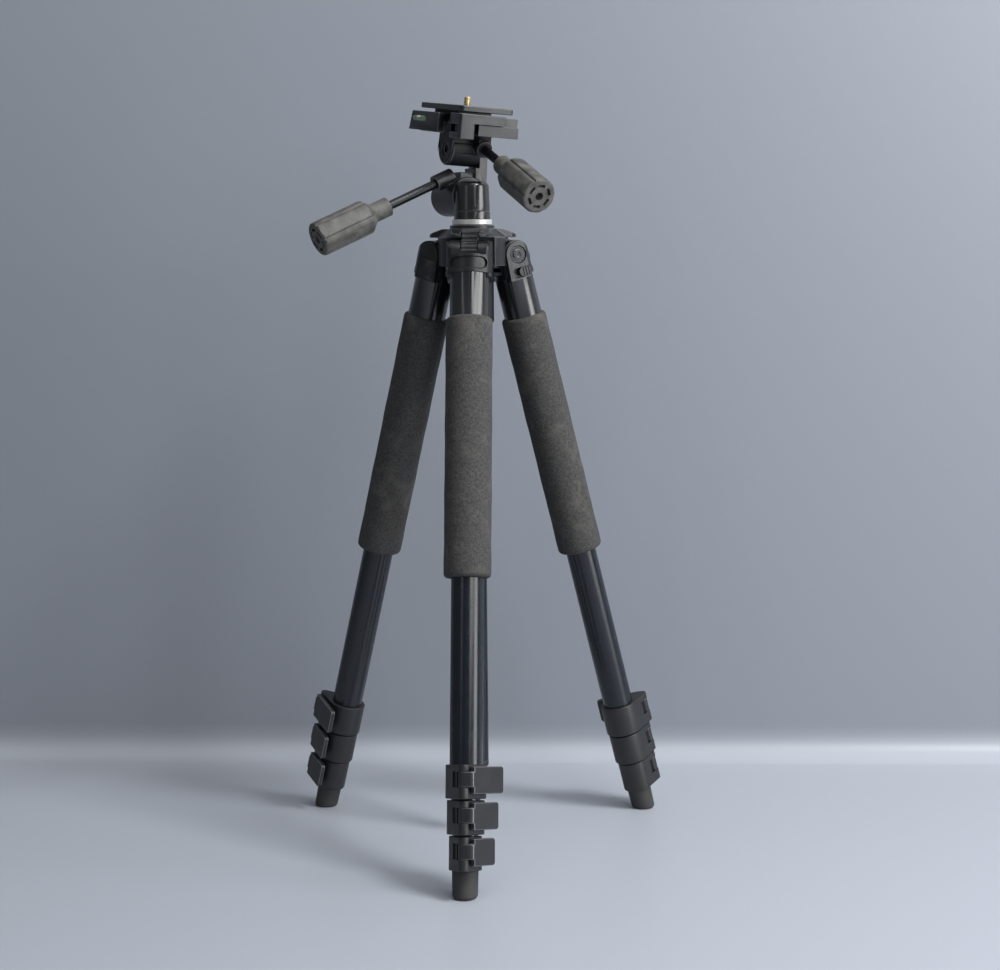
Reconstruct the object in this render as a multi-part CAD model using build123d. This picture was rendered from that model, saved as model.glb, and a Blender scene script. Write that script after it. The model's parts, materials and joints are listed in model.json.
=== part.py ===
from build123d import *
from math import acos, cos, degrees, radians, sin, sqrt
import os

os.makedirs("parts", exist_ok=True)

# Frame: millimetres, Z up, floor at 0, origin under the middle of the bounding box.
COLUMN_X = 1.9
COLUMN_Y = 46.0

# Fits. Radial, except the side gap between flat faces that move past each other.
RUNNING_FIT = 0.05
SLIDE_GAP = 0.3
SIDE_GAP = 0.3

# Where the legs stand. Each leg hangs from a bolt through the hub and leans outward.
LEG_AZIMUTHS = {"front": -90, "right": 30, "left": 150}
SPLAY = 15
PIVOT_RADIUS = 36.2
PIVOT_HEIGHT = 535.5
LEG_LENGTH = PIVOT_HEIGHT / cos(radians(SPLAY))

# Distances down the leg from the pivot bolt, the lowest ones measured up from the floor.
BAND_TOP = 3
BAND_BOTTOM = 19
TUBE_TOP = 24
FOAM_TOP = 57
FOAM_LENGTH = 228
FOAM_BOTTOM = FOAM_TOP + FOAM_LENGTH
LOCKS_RISE = 110.8
LOCK_TOP = LEG_LENGTH - LOCKS_RISE
LOCK_PITCH = 29.8
LOCK_HEIGHT = 28.5
LOCK_SOCKET = 20
FOOT_RISE = 22.4
FOOT_TOP = LEG_LENGTH - FOOT_RISE
BOTTOM_TUBE_RISE = 8.4
BOTTOM_TUBE_END = LEG_LENGTH - BOTTOM_TUBE_RISE

# Leg top casting: a fork over the hub's tongue, a band with a thumb recess, a sleeve.
SLEEVE_RADIUS = 17.25
BAND_FRONT = 18.3
BAND_SIDE = 22
BAND_INNER = -15
CHEEK_ROUND = 13
CHEEK_OUTER = 17
TONGUE_WIDTH = 15
TONGUE_ROUND = 12
TONGUE_SWING_GAP = 0.6
RECESS_LENGTH = 33
RECESS_HEIGHT = 10.2
RECESS_DEPTH = 2.2
RECESS_DROP = 10.3
COVER_HALF = 11.7
COVER_BOTTOM = 22
COVER_LOW_BACK = 13
COVER_LOW_FRONT = 9.5
COVER_OUTER = 19.8
COVER_RIBS = 5
COVER_RIB_FIRST = 2
COVER_RIB_PITCH = 3.8
COVER_RIB_GAP = 1.6
COVER_RIB_DEPTH = 0.8

# Leg pivot bolts.
BOLT_RADIUS = 4
BOLT_HEAD_RADIUS = 7.5
BOLT_HEAD_THICK = 1.6
BOLT_CAP_RADIUS = 4.6
BOLT_CAP_THICK = 1.0
BOLT_SOCKET_RADIUS = 2.2
BOLT_NUT_RADIUS = 6
BOLT_NUT_START = 13
BOLT_NUT_THICK = 3.7
HEAD_ROOM = 0.6

# Ribbed angle lock button in an oblong slot at one side of the leg top.
BUTTON_DROP = 16
BUTTON_SLOT_LENGTH = 22
BUTTON_SLOT_HEIGHT = 9
BUTTON_SLOT_FLOOR = 15.5
BUTTON_MIDDLE = 3.6
BUTTON_LENGTH = 13.2
BUTTON_FACE = 20.5
BUTTON_RIBS = 3
BUTTON_RIB_PITCH = 2.6
BUTTON_RIB_GAP = 1.1
BUTTON_RIB_DEPTH = 0.8

# Foam grip and tubes, widest first.
FOAM_RADIUS = 20.5
FOAM_ROUND = 3
TUBE_RADII = (14, 12.5, 11, 9.5)
TUBE_WALL = 1.2
TUBE_STARTS = (TUBE_TOP, 90, 95, 100)
LOCK_NAMES = ("upper", "middle", "lower")
TUBE_NAMES = ("upper", "second", "third", "bottom")

# Lock collars, a teardrop in plan, and their levers, from upper to lower.
LOCK_RADII = (17.3, 16, 14)
LOCK_NOSES = (26, 22.5, 20)
NOSE_RADIUS = 5
LOCK_EDGE = 0.8
KNUCKLE_TOP = 5.6
KNUCKLE_BOTTOM = 18.9
KNUCKLE_RADIUS = 4.6
KNUCKLE_ROOM = 6.2
NOSE_WALL_Y = -6
LOCK_PIN_RADIUS = 1.5
LOCK_PIN_INSET = 1
WINDOW_WIDTH = 8
WINDOW_DEPTH = 1.6
WINDOW_FROM_NOSE = 8
PADDLE_TOP = 1.4
PADDLE_HEIGHT = 22.8
PADDLE_THICK = 4
PADDLE_OFFSET = 6.1
PADDLE_START = 1.5
PADDLE_WEB = 4
FAIRING_DROP = 8
FAIRING_BACK = 2.6
PADDLE_FLARE = 3.5
PADDLE_CORNER = 3
PADDLE_LENGTHS = (44, 36, 32.5)

# Rubber foot, cut level with the floor.
FOOT_TOP_RADIUS = 11.3
FOOT_LOW_RADIUS = 10.6
FOOT_LENGTH = 30
FOOT_ROUND = 3

# Hub: a sleeve for the column, three sloping arms with lobes between them, and a collar.
HUB_SLEEVE_RADIUS = 19
HUB_RISE = 23
HUB_TOP = PIVOT_HEIGHT + HUB_RISE
HUB_SLEEVE_LENGTH = 83.5
HUB_SLEEVE_BOTTOM = HUB_TOP - HUB_SLEEVE_LENGTH
HUB_ARM_THICK = 7.5
HUB_ARM_BOTTOM = HUB_TOP - HUB_ARM_THICK
HUB_ARM_REACH = 39
HUB_ARM_WIDTH = 34
HUB_ARM_CORNER = 9
HUB_ARM_SLOPE = 5
HUB_CONE_TOP_RADIUS = 22
HUB_LOBE_RADIUS = 31
HUB_LOBE_DROP = 10
HUB_LOBE_BOTTOM = PIVOT_HEIGHT - HUB_LOBE_DROP
LEG_ROOM = 0.6
LEG_INNER_ROOM = 20.5
HUB_NOTCH_START = 28
HUB_NOTCH_WIDTH = 15.8
HUB_TONGUE_SHOULDER = 8
HUB_TONGUE_ROOT = 12
RATCHET_STEPS = 4
RATCHET_FIRST = 5
RATCHET_PITCH = 4.2
RATCHET_GAP = 2.2
RATCHET_DEPTH = 2.4
HUB_COLLAR_RADIUS = 20
HUB_COLLAR_HEIGHT = 3.4
HUB_COLLAR_TOP = HUB_TOP + HUB_COLLAR_HEIGHT

# Pan ring on the hub's collar.
RING_RADIUS = 17.9
RING_BOTTOM = HUB_COLLAR_TOP + SIDE_GAP
RING_THICK = 4.6
RING_TOP = RING_BOTTOM + RING_THICK

# Centre column and its lock knob at the back of the hub.
COLUMN_RADIUS = 10.3
COLUMN_WALL = 1.5
COLUMN_LENGTH = 491.2
COLUMN_BOTTOM = RING_BOTTOM - COLUMN_LENGTH
CAP_HEIGHT = 6
CAP_BOTTOM = COLUMN_BOTTOM - CAP_HEIGHT
CAP_PLUG_LENGTH = 16
CAP_PLUG_TOP = COLUMN_BOTTOM + CAP_PLUG_LENGTH
CAP_ROUND = 2
KNOB_AZIMUTH = 90
KNOB_RISE = 25
KNOB_HEIGHT = HUB_SLEEVE_BOTTOM + KNOB_RISE
KNOB_BOSS_RADIUS = 8
KNOB_BOSS_REACH = 25
KNOB_STEM_RADIUS = 3
KNOB_STEM_START = 12
KNOB_START = 26
KNOB_LENGTH = 12
KNOB_RADIUS = 12
KNOB_FLUTES = 8
KNOB_FLUTE_RADIUS = 2.2

# Pan base, cut away over a floor for the drum that leans in it.
DRUM_RADIUS = 17.2
DRUM_ROOM = 0.7
BASE_RADIUS = 16.35
BASE_TOP_RADIUS = 15.2
BASE_FLOOR_THICK = 2.8
BASE_FLOOR = RING_TOP + BASE_FLOOR_THICK
LEAN_HEIGHT = BASE_FLOOR + DRUM_ROOM + DRUM_RADIUS
BASE_OVER_LEAN = 13
BASE_TOP = LEAN_HEIGHT + BASE_OVER_LEAN
BASE_ROUND = 5
BASE_GROOVE_RISE = 7.2
BASE_GROOVE_HEIGHT = RING_TOP + BASE_GROOVE_RISE
BASE_GROOVE = 0.7

# Head: turned about the column, then leaned about a level bolt, then nodded on the platform.
HEAD_TURN = -58.24
LEAN = -3.3
NOD = 6
DRUM_FRONT = -4.3
DRUM_BACK = -49
DRUM_EDGE = 1.5
TRUNNION_RADIUS = 6
TRUNNION_END = -40
NECK_BACK = -26
NECK_FRONT = -5
NECK_INNER = 5.2
NECK_UPPER_INNER = 9
NECK_OUTER = 17.4
NECK_FOOT_RISE = 4.5
NECK_FOOT = LEAN_HEIGHT + NECK_FOOT_RISE
NECK_ROUND = 11.8
LEDGE_FRONT = -8
LEDGE_BACK = -30
LEDGE_INNER = -8.3
LEDGE_RISE = 21.5
LEDGE_TOP = LEAN_HEIGHT + LEDGE_RISE

# Nod axis, tilt bolt and the body under the platform.
NOD_X = -15
NECK_LENGTH = 41.5
NOD_HEIGHT = LEAN_HEIGHT + NECK_LENGTH
NOD_RADIUS = 14.5
NOD_ROOM = 1
NECK_STEP = NOD_HEIGHT - NOD_RADIUS - NOD_ROOM
NOD_INNER = -21
NOD_EDGE = 1.5
TILT_BOLT_RADIUS = 5
TILT_HEAD_RADIUS = 6.5
TILT_HEAD_INNER = -20
TILT_HEAD_OUTER = -16
TILT_HEX = 7
TILT_HEX_DEPTH = 2.5
SADDLE_HALF = 13

# Platform, measured from the middle of the camera plate's top.
PLATE_X = -15
PLATE_Y = -2.8
PLATE_LENGTH = 82
PLATE_WIDTH = 52
PLATE_THICK = 5
PLATE_CORNER = 3
TAIL_BACK = -30
TAIL_FRONT = 17
TAIL_TOP_HALF = 15
TAIL_LOW_HALF = 19
TAIL_BOTTOM = -15
TAIL_GAP = 0.5
DECK_TOP = -15.7
DECK_BOTTOM = -25.4
DECK_ROOM = 2
PLATE_TOP = NOD_HEIGHT + NECK_ROUND + DECK_ROOM - DECK_BOTTOM
DECK_BACK = -41
DECK_FRONT = 40
DECK_LEFT = -24
DECK_RIGHT = 33
JAW_TOP = -8
JAW_INNER = 13
JAW_BACK = -38
JAW_FRONT = 37
WING_BACK = -53
WING_FRONT = 5
WING_OUTER = -30
WING_INNER = -13
WING_TOP = -8
WING_BOTTOM = -25
WING_SLANT = 5
LEVEL_RADIUS = 3
LEVEL_BACK = -46
LEVEL_FRONT = -20
LEVEL_DROP = -14.5
LEVEL_PROUD = 1.2

# Quick release lever at the near corner of the deck.
LEVER_PIN_X = 32
LEVER_PIN_Y = -19.5
LEVER_PIN_RADIUS = 2.5
LEVER_SWING = 14.5
LEVER_BACK = 22
LEVER_FRONT = 43.2
LEVER_LEFT = -27.5
LEVER_RIGHT = -12
LEVER_TOP = -7
LEVER_BOTTOM = -29
LEVER_EDGE = 2
LEVER_ARM_BACK = 37.5
LEVER_ARM_END = 18
LEVER_ARM_BOTTOM = -15.3
LUG_RADIUS = 6
LUG_TOP = -17
LUG_BOTTOM = -23
LUG_GAP = 0.4

# Captive camera screw: a quarter inch thread over a thinner shank that runs in the plate.
SCREW_RADIUS = 3.175
SCREW_SHANK_RADIUS = 2.6
SCREW_RELIEF = 0.6
SCREW_PROUD = 8
SCREW_HEAD_RADIUS = 7
SCREW_HEAD_TOP = -3.2
SCREW_HEAD_BOTTOM = -6.2
SCREW_POCKET_RADIUS = 8
SCREW_SLOT_WIDTH = 1.6
SCREW_SLOT_DEPTH = 1.4

# Handles: a rod screwed into a socket barrel, with a fluted grip.
HANDLE_ROD_RADIUS = 4
SOCKET_RADIUS = 7.5
TILT_HANDLE_Y = 7
TILT_HANDLE_RISE = 9.3
TILT_HANDLE_DROP = 17.5
TILT_SOCKET_START = 15.8
TILT_SOCKET_END = 24
TILT_ROD_START = 16.6
TILT_GRIP_START = 60
TILT_WEB_BACK = 15.5
TILT_WEB_FRONT = 22
TILT_WEB_HALF = 6
SIDE_HANDLE_X = -19
SIDE_HANDLE_Y = -25.4
SIDE_HANDLE_RISE = 10.8
SIDE_HANDLE_Z = LEAN_HEIGHT + SIDE_HANDLE_RISE
SIDE_HANDLE_DROP = 26.3
SIDE_SOCKET_START = -16
SIDE_SOCKET_END = 3
SIDE_ROD_START = -12
SIDE_GRIP_START = 54
GRIP_NECK_RADIUS = 8.5
GRIP_NECK = 16
GRIP_SHOULDER = 8
GRIP_LENGTH = 74
GRIP_RADIUS = 15.5
GRIP_ROUND = 2.5
GRIP_FLUTES = 6
GRIP_FLUTE_RADIUS = 1.5
GRIP_FLUTE_DEPTH = 1.3
GRIP_FLAT = 14.8
GRIP_BORE_RADIUS = 3.6
GRIP_BORE_DEPTH = 6
GRIP_SLOT_RADIUS = 9.2
GRIP_SLOT_LENGTH = 6.6
GRIP_SLOT_WIDTH = 2.6
GRIP_SLOT_DEPTH = 3
ROD_IN_GRIP = 40


def rod(radius, low, high):
    """A cylinder along Z between two heights."""
    return Pos(0, 0, (low + high) / 2) * Cylinder(radius, high - low)


def along(radius, start, end):
    """A cylinder along X."""
    return Pos((start + end) / 2, 0, 0) * Rot(0, 90, 0) * Cylinder(radius, end - start)


def across(radius, start, end):
    """A cylinder along Y."""
    return Pos(0, (start + end) / 2, 0) * Rot(90, 0, 0) * Cylinder(radius, end - start)


def slab(x0, x1, y0, y1, z0, z1):
    """A box between three pairs of limits."""
    middle = Pos((x0 + x1) / 2, (y0 + y1) / 2, (z0 + z1) / 2)
    return middle * Box(x1 - x0, y1 - y0, z1 - z0)


def save(shape, name):
    export_step(shape, f"parts/{name}.step")


COLUMN = Pos(COLUMN_X, COLUMN_Y, 0)


def leg_place(azimuth):
    """A leg's own frame: origin at the bolt, X outward, Z up the leg."""
    pivot = Rot(0, 0, azimuth) * Pos(PIVOT_RADIUS, 0, PIVOT_HEIGHT)
    return COLUMN * pivot * Rot(0, -SPLAY, 0)


def oval(inset, low, high):
    """The leg top's oval outline between two heights, drawn in by an inset."""
    return extrude(Pos(0, 0, low) * Ellipse(BAND_FRONT - inset, BAND_SIDE - inset), amount=high - low)


# Leg top casting: an oval band under a two-cheeked fork, side covers and the tube's sleeve.
fork_half = TONGUE_WIDTH / 2 + SIDE_GAP
swing = TONGUE_ROUND + TONGUE_SWING_GAP
band = oval(0, -BAND_BOTTOM, -BAND_TOP) & slab(
    BAND_INNER, FOAM_TOP, -COVER_OUTER, COVER_OUTER, -BAND_BOTTOM, -BAND_TOP
)
cheeks = across(CHEEK_ROUND, -CHEEK_OUTER, CHEEK_OUTER)
cheeks += slab(
    -CHEEK_ROUND, CHEEK_ROUND, -CHEEK_OUTER, CHEEK_OUTER, -BAND_BOTTOM, 0
)
covers = across(COVER_HALF, -COVER_OUTER, COVER_OUTER)
cover_side = Polygon(
    (-COVER_HALF, 0),
    (-COVER_LOW_BACK, -COVER_BOTTOM),
    (COVER_LOW_FRONT, -COVER_BOTTOM),
    (COVER_HALF, 0),
    align=None,
)
covers += extrude(Plane.XZ * cover_side, amount=COVER_OUTER, both=True)
for rib in range(COVER_RIBS):
    groove = COVER_RIB_FIRST + rib * COVER_RIB_PITCH
    covers -= slab(
        -COVER_LOW_BACK,
        COVER_LOW_BACK,
        COVER_OUTER - COVER_RIB_DEPTH,
        COVER_OUTER,
        -groove - COVER_RIB_GAP,
        -groove,
    )
inner_side = slab(-FOAM_TOP, 0, -COVER_OUTER, COVER_OUTER, -COVER_BOTTOM, CHEEK_ROUND)
fork = (cheeks + covers) & (oval(0, -COVER_BOTTOM, CHEEK_ROUND) + inner_side)
leg_top = rod(SLEEVE_RADIUS, -FOAM_TOP, -BAND_TOP - CHEEK_ROUND) + band + fork
recess = Plane.YZ * Pos(0, -RECESS_DROP) * SlotOverall(RECESS_LENGTH, RECESS_HEIGHT)
leg_top -= extrude(recess, amount=BAND_FRONT) - oval(RECESS_DEPTH, -BAND_BOTTOM, 0)
leg_top -= slab(-FOAM_TOP, FOAM_TOP, -fork_half, fork_half, -BAND_TOP, FOAM_TOP)
leg_top -= slab(-FOAM_TOP, 0, -fork_half, fork_half, -swing, FOAM_TOP)
leg_top -= across(swing, -fork_half, fork_half)
nut_end = BOLT_NUT_START + BOLT_NUT_THICK
leg_top -= across(BOLT_RADIUS + RUNNING_FIT, -COVER_OUTER, nut_end)
leg_top -= across(BOLT_HEAD_RADIUS + HEAD_ROOM, -COVER_OUTER, -CHEEK_OUTER)
leg_top -= across(
    BOLT_NUT_RADIUS + HEAD_ROOM, BOLT_NUT_START - SIDE_GAP, nut_end + SIDE_GAP
)
button_floor = Plane.XZ.offset(BUTTON_SLOT_FLOOR) * Pos(0, -BUTTON_DROP)
button_slot = button_floor * SlotOverall(BUTTON_SLOT_LENGTH, BUTTON_SLOT_HEIGHT)
leg_top -= extrude(button_slot, amount=BAND_SIDE)
leg_top -= rod(TUBE_RADII[0], -FOAM_TOP, -TUBE_TOP)

# Angle lock button.
button_side = SlotOverall(BUTTON_LENGTH, BUTTON_SLOT_HEIGHT - 2 * SLIDE_GAP)
button = extrude(
    button_floor * Pos(BUTTON_MIDDLE, 0) * button_side, amount=BUTTON_FACE - BUTTON_SLOT_FLOOR
)
for rib in range(BUTTON_RIBS):
    groove = BUTTON_MIDDLE + (rib - (BUTTON_RIBS - 1) / 2) * BUTTON_RIB_PITCH
    button -= slab(
        groove - BUTTON_RIB_GAP / 2,
        groove + BUTTON_RIB_GAP / 2,
        -BUTTON_FACE,
        BUTTON_RIB_DEPTH - BUTTON_FACE,
        -FOAM_TOP,
        0,
    )
button &= oval(COVER_OUTER - BUTTON_FACE, -FOAM_TOP, 0)

# Foam grip.
foam = rod(FOAM_RADIUS, -FOAM_BOTTOM, -FOAM_TOP)
foam = fillet(foam.edges(), FOAM_ROUND)
foam -= rod(TUBE_RADII[0], -FOAM_BOTTOM, -FOAM_TOP)


def lock_top(order):
    """Distance down the leg of a lock's top."""
    return LOCK_TOP + order * LOCK_PITCH


def tube(order):
    """One telescoping tube of a leg."""
    radius = TUBE_RADII[order]
    end = BOTTOM_TUBE_END if order == 3 else lock_top(order) + LOCK_SOCKET
    start = TUBE_STARTS[order]
    return rod(radius, -end, -start) - rod(radius - TUBE_WALL, -end, -start)


def flank_angle(order):
    """Angle from outward of a lock flank's normal, in radians."""
    return acos((LOCK_RADII[order] - NOSE_RADIUS) / LOCK_NOSES[order])


def lock(order):
    """A lock collar with its lever pin moulded in."""
    radius, nose = LOCK_RADII[order], LOCK_NOSES[order]
    turn = flank_angle(order)
    back = (radius * cos(turn), radius * sin(turn))
    front = (nose + NOSE_RADIUS * cos(turn), NOSE_RADIUS * sin(turn))
    outline = Line(back, front)
    outline += ThreePointArc(front, (nose + NOSE_RADIUS, 0), (front[0], -front[1]))
    outline += Line((front[0], -front[1]), (back[0], -back[1]))
    outline += ThreePointArc((back[0], -back[1]), (-radius, 0), back)
    body = extrude(make_face(outline), amount=LOCK_HEIGHT)
    rims = body.edges().group_by(Axis.Z)
    body = fillet(rims[0] + rims[-1], LOCK_EDGE)
    body = Pos(0, 0, -LOCK_HEIGHT) * body
    body -= slab(
        nose - KNUCKLE_ROOM,
        nose + LOCK_HEIGHT,
        NOSE_WALL_Y,
        LOCK_HEIGHT,
        -KNUCKLE_BOTTOM,
        -KNUCKLE_TOP,
    )
    window = Pos(front[0], -front[1]) * Rot(0, 0, -degrees(turn))
    body -= window * slab(
        -WINDOW_DEPTH,
        LOCK_HEIGHT,
        -WINDOW_FROM_NOSE - WINDOW_WIDTH / 2,
        WINDOW_WIDTH / 2 - WINDOW_FROM_NOSE,
        -KNUCKLE_BOTTOM,
        -KNUCKLE_TOP,
    )
    body += Pos(nose, 0) * rod(
        LOCK_PIN_RADIUS, LOCK_PIN_INSET - LOCK_HEIGHT, -LOCK_PIN_INSET
    )
    body -= rod(TUBE_RADII[order], -LOCK_SOCKET, 0)
    body -= rod(TUBE_RADII[order + 1] + SLIDE_GAP, -LOCK_HEIGHT, 0)
    return Pos(0, 0, -lock_top(order)) * body


def lever(order):
    """A flip lever: a knuckle on the pin, faired into a flat paddle along the lock's flank."""
    paddle = slab(
        PADDLE_START,
        PADDLE_LENGTHS[order],
        -PADDLE_OFFSET - PADDLE_THICK,
        -PADDLE_OFFSET,
        -PADDLE_TOP - PADDLE_HEIGHT,
        -PADDLE_TOP,
    )
    free_end = paddle.edges().filter_by(Axis.Y).group_by(Axis.X)[-1]
    paddle = fillet(free_end, PADDLE_CORNER)
    low, high = SIDE_GAP - KNUCKLE_BOTTOM, -KNUCKLE_TOP - SIDE_GAP
    paddle_face = PADDLE_OFFSET + PADDLE_THICK
    fairing = Polygon(
        (-KNUCKLE_RADIUS, 0),
        (-FAIRING_BACK, -FAIRING_DROP),
        (0, -paddle_face),
        (PADDLE_WEB, -paddle_face),
        (PADDLE_WEB, 0),
        align=None,
    )
    fairing = extrude(Pos(0, 0, low) * fairing, amount=high - low)
    shape = paddle + fairing + rod(KNUCKLE_RADIUS, low, high)
    shape -= rod(LOCK_PIN_RADIUS + RUNNING_FIT, -LOCK_HEIGHT, 0)
    turn = degrees(flank_angle(order)) - PADDLE_FLARE + 90
    return Pos(LOCK_NOSES[order], 0, -lock_top(order)) * Rot(0, 0, turn) * shape


# Rubber foot before it is cut to the floor.
foot = Pos(0, 0, -FOOT_TOP - FOOT_LENGTH / 2) * Cone(
    FOOT_LOW_RADIUS, FOOT_TOP_RADIUS, FOOT_LENGTH
)
foot -= rod(TUBE_RADII[3], -BOTTOM_TUBE_END, -FOOT_TOP)
below_floor = slab(
    -PIVOT_HEIGHT, PIVOT_HEIGHT, -PIVOT_HEIGHT, PIVOT_HEIGHT, -PIVOT_HEIGHT, 0
)

for leg, azimuth in LEG_AZIMUTHS.items():
    place = leg_place(azimuth)
    save(place * leg_top, f"{leg}_leg_top")
    save(place * button, f"{leg}_angle_button")
    save(place * foam, f"{leg}_foam_grip")
    for order, name in enumerate(TUBE_NAMES):
        save(place * tube(order), f"{leg}_{name}_tube")
    for order, name in enumerate(LOCK_NAMES):
        save(place * lock(order), f"{leg}_{name}_lock")
        save(place * lever(order), f"{leg}_{name}_lever")
    standing_foot = place * foot - below_floor
    sole = standing_foot.edges().group_by(Axis.Z)[0]
    save(fillet(sole, FOOT_ROUND), f"{leg}_foot")

# Hub and the pivot bolts through its arms.
notch_half = HUB_NOTCH_WIDTH / 2
arm_half = HUB_ARM_WIDTH / 2
roof_side = Polygon(
    (0, HUB_ARM_BOTTOM),
    (HUB_ARM_REACH, HUB_ARM_BOTTOM),
    (HUB_ARM_REACH, HUB_TOP - HUB_ARM_SLOPE),
    (HUB_CONE_TOP_RADIUS, HUB_TOP),
    (0, HUB_TOP),
    align=None,
)
roof = extrude(Plane.XZ * roof_side, amount=arm_half, both=True)
roof = fillet(roof.edges().filter_by(Axis.Z).group_by(Axis.X)[-1], HUB_ARM_CORNER)
roof -= slab(
    HUB_NOTCH_START, PIVOT_HEIGHT, -notch_half, notch_half, HUB_ARM_BOTTOM, HUB_TOP
)
tongue_side = Polygon(
    (HUB_TONGUE_ROOT, PIVOT_HEIGHT - TONGUE_ROUND),
    (PIVOT_RADIUS, PIVOT_HEIGHT - TONGUE_ROUND),
    (PIVOT_RADIUS, PIVOT_HEIGHT + TONGUE_ROUND),
    (PIVOT_RADIUS - HUB_TONGUE_SHOULDER, HUB_TOP),
    (HUB_TONGUE_ROOT, HUB_TOP),
    align=None,
)
tongue = extrude(Plane.XZ * tongue_side, amount=TONGUE_WIDTH / 2, both=True)
at_pivot = Pos(PIVOT_RADIUS, 0, PIVOT_HEIGHT)
tongue += at_pivot * across(TONGUE_ROUND, -TONGUE_WIDTH / 2, TONGUE_WIDTH / 2)
tongue -= at_pivot * across(BOLT_RADIUS, -TONGUE_WIDTH, TONGUE_WIDTH)


def tongue_face(height):
    """How far out the tongue reaches, at a height above the bolt."""
    if height < TONGUE_ROUND:
        return PIVOT_RADIUS + sqrt(TONGUE_ROUND**2 - height**2)
    rise = HUB_TOP - PIVOT_HEIGHT - TONGUE_ROUND
    return PIVOT_RADIUS - HUB_TONGUE_SHOULDER * (height - TONGUE_ROUND) / rise


for step in range(RATCHET_STEPS):
    height = RATCHET_FIRST + step * RATCHET_PITCH
    tongue -= slab(
        tongue_face(height) - RATCHET_DEPTH,
        PIVOT_HEIGHT,
        -TONGUE_WIDTH,
        TONGUE_WIDTH,
        PIVOT_HEIGHT + height,
        PIVOT_HEIGHT + height + RATCHET_GAP,
    )
hub = rod(HUB_SLEEVE_RADIUS, HUB_SLEEVE_BOTTOM, HUB_TOP)
hub += Pos(0, 0, (HUB_ARM_BOTTOM + HUB_TOP) / 2) * Cone(
    HUB_LOBE_RADIUS, HUB_CONE_TOP_RADIUS, HUB_ARM_THICK
)
hub += rod(HUB_COLLAR_RADIUS, HUB_TOP, HUB_COLLAR_TOP)
lobes = rod(HUB_LOBE_RADIUS, HUB_LOBE_BOTTOM, HUB_ARM_BOTTOM)
room_half = BUTTON_FACE + LEG_ROOM
leg_room = slab(LEG_INNER_ROOM, PIVOT_HEIGHT, -room_half, room_half, 0, HUB_ARM_BOTTOM)
for azimuth in LEG_AZIMUTHS.values():
    lobes -= Rot(0, 0, azimuth) * leg_room
hub += lobes
for azimuth in LEG_AZIMUTHS.values():
    hub += Rot(0, 0, azimuth) * (roof + tongue)
at_knob = Pos(0, 0, KNOB_HEIGHT) * Rot(0, 0, KNOB_AZIMUTH)
hub += at_knob * along(KNOB_BOSS_RADIUS, COLUMN_RADIUS, KNOB_BOSS_REACH)
hub -= rod(COLUMN_RADIUS + SLIDE_GAP, HUB_SLEEVE_BOTTOM, HUB_COLLAR_TOP)
hub -= at_knob * along(KNOB_STEM_RADIUS + RUNNING_FIT, 0, KNOB_BOSS_REACH)
save(COLUMN * hub, "hub")

head_face = CHEEK_OUTER + SIDE_GAP
bolt = across(BOLT_RADIUS, -head_face, nut_end)
bolt += across(BOLT_HEAD_RADIUS, -head_face - BOLT_HEAD_THICK, -head_face)
cap_face = head_face + BOLT_HEAD_THICK + BOLT_CAP_THICK
bolt += across(BOLT_CAP_RADIUS, -cap_face, -head_face)
bolt -= across(BOLT_SOCKET_RADIUS, -cap_face, BOLT_CAP_THICK - cap_face)
bolt += across(BOLT_NUT_RADIUS, BOLT_NUT_START, nut_end)
bolts = [
    COLUMN * Rot(0, 0, azimuth) * at_pivot * bolt for azimuth in LEG_AZIMUTHS.values()
]
save(Compound(children=bolts), "leg_pivot_bolts")

# Centre column, end cap and lock knob.
column = rod(COLUMN_RADIUS, COLUMN_BOTTOM, RING_BOTTOM)
column -= rod(COLUMN_RADIUS - COLUMN_WALL, COLUMN_BOTTOM, RING_BOTTOM)
save(COLUMN * column, "centre_column")
cap = rod(COLUMN_RADIUS, CAP_BOTTOM, COLUMN_BOTTOM)
cap = fillet(cap.edges().group_by(Axis.Z)[0], CAP_ROUND)
cap += rod(COLUMN_RADIUS - COLUMN_WALL, COLUMN_BOTTOM, CAP_PLUG_TOP)
save(COLUMN * cap, "column_end_cap")
knob = along(KNOB_RADIUS, KNOB_START, KNOB_START + KNOB_LENGTH)
knob = fillet(knob.edges().group_by(Axis.X)[-1], CAP_ROUND)
for step in range(KNOB_FLUTES):
    flute = Pos(0, KNOB_RADIUS, 0) * along(
        KNOB_FLUTE_RADIUS, KNOB_START, KNOB_START + KNOB_LENGTH
    )
    knob -= Rot(360 * step / KNOB_FLUTES, 0, 0) * flute
knob += along(KNOB_STEM_RADIUS, KNOB_STEM_START, KNOB_START)
save(COLUMN * at_knob * knob, "column_lock_knob")

# Head frames: turned, then leaned about the drum's axis, then nodded about the tilt bolt.
TURNED = COLUMN * Rot(0, 0, HEAD_TURN)
LEANED = TURNED * Pos(0, 0, LEAN_HEIGHT) * Rot(LEAN, 0, 0) * Pos(0, 0, -LEAN_HEIGHT)
NODDED = LEANED * Pos(NOD_X, 0, NOD_HEIGHT) * Rot(0, NOD, 0) * Pos(-NOD_X, 0, -NOD_HEIGHT)

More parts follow.
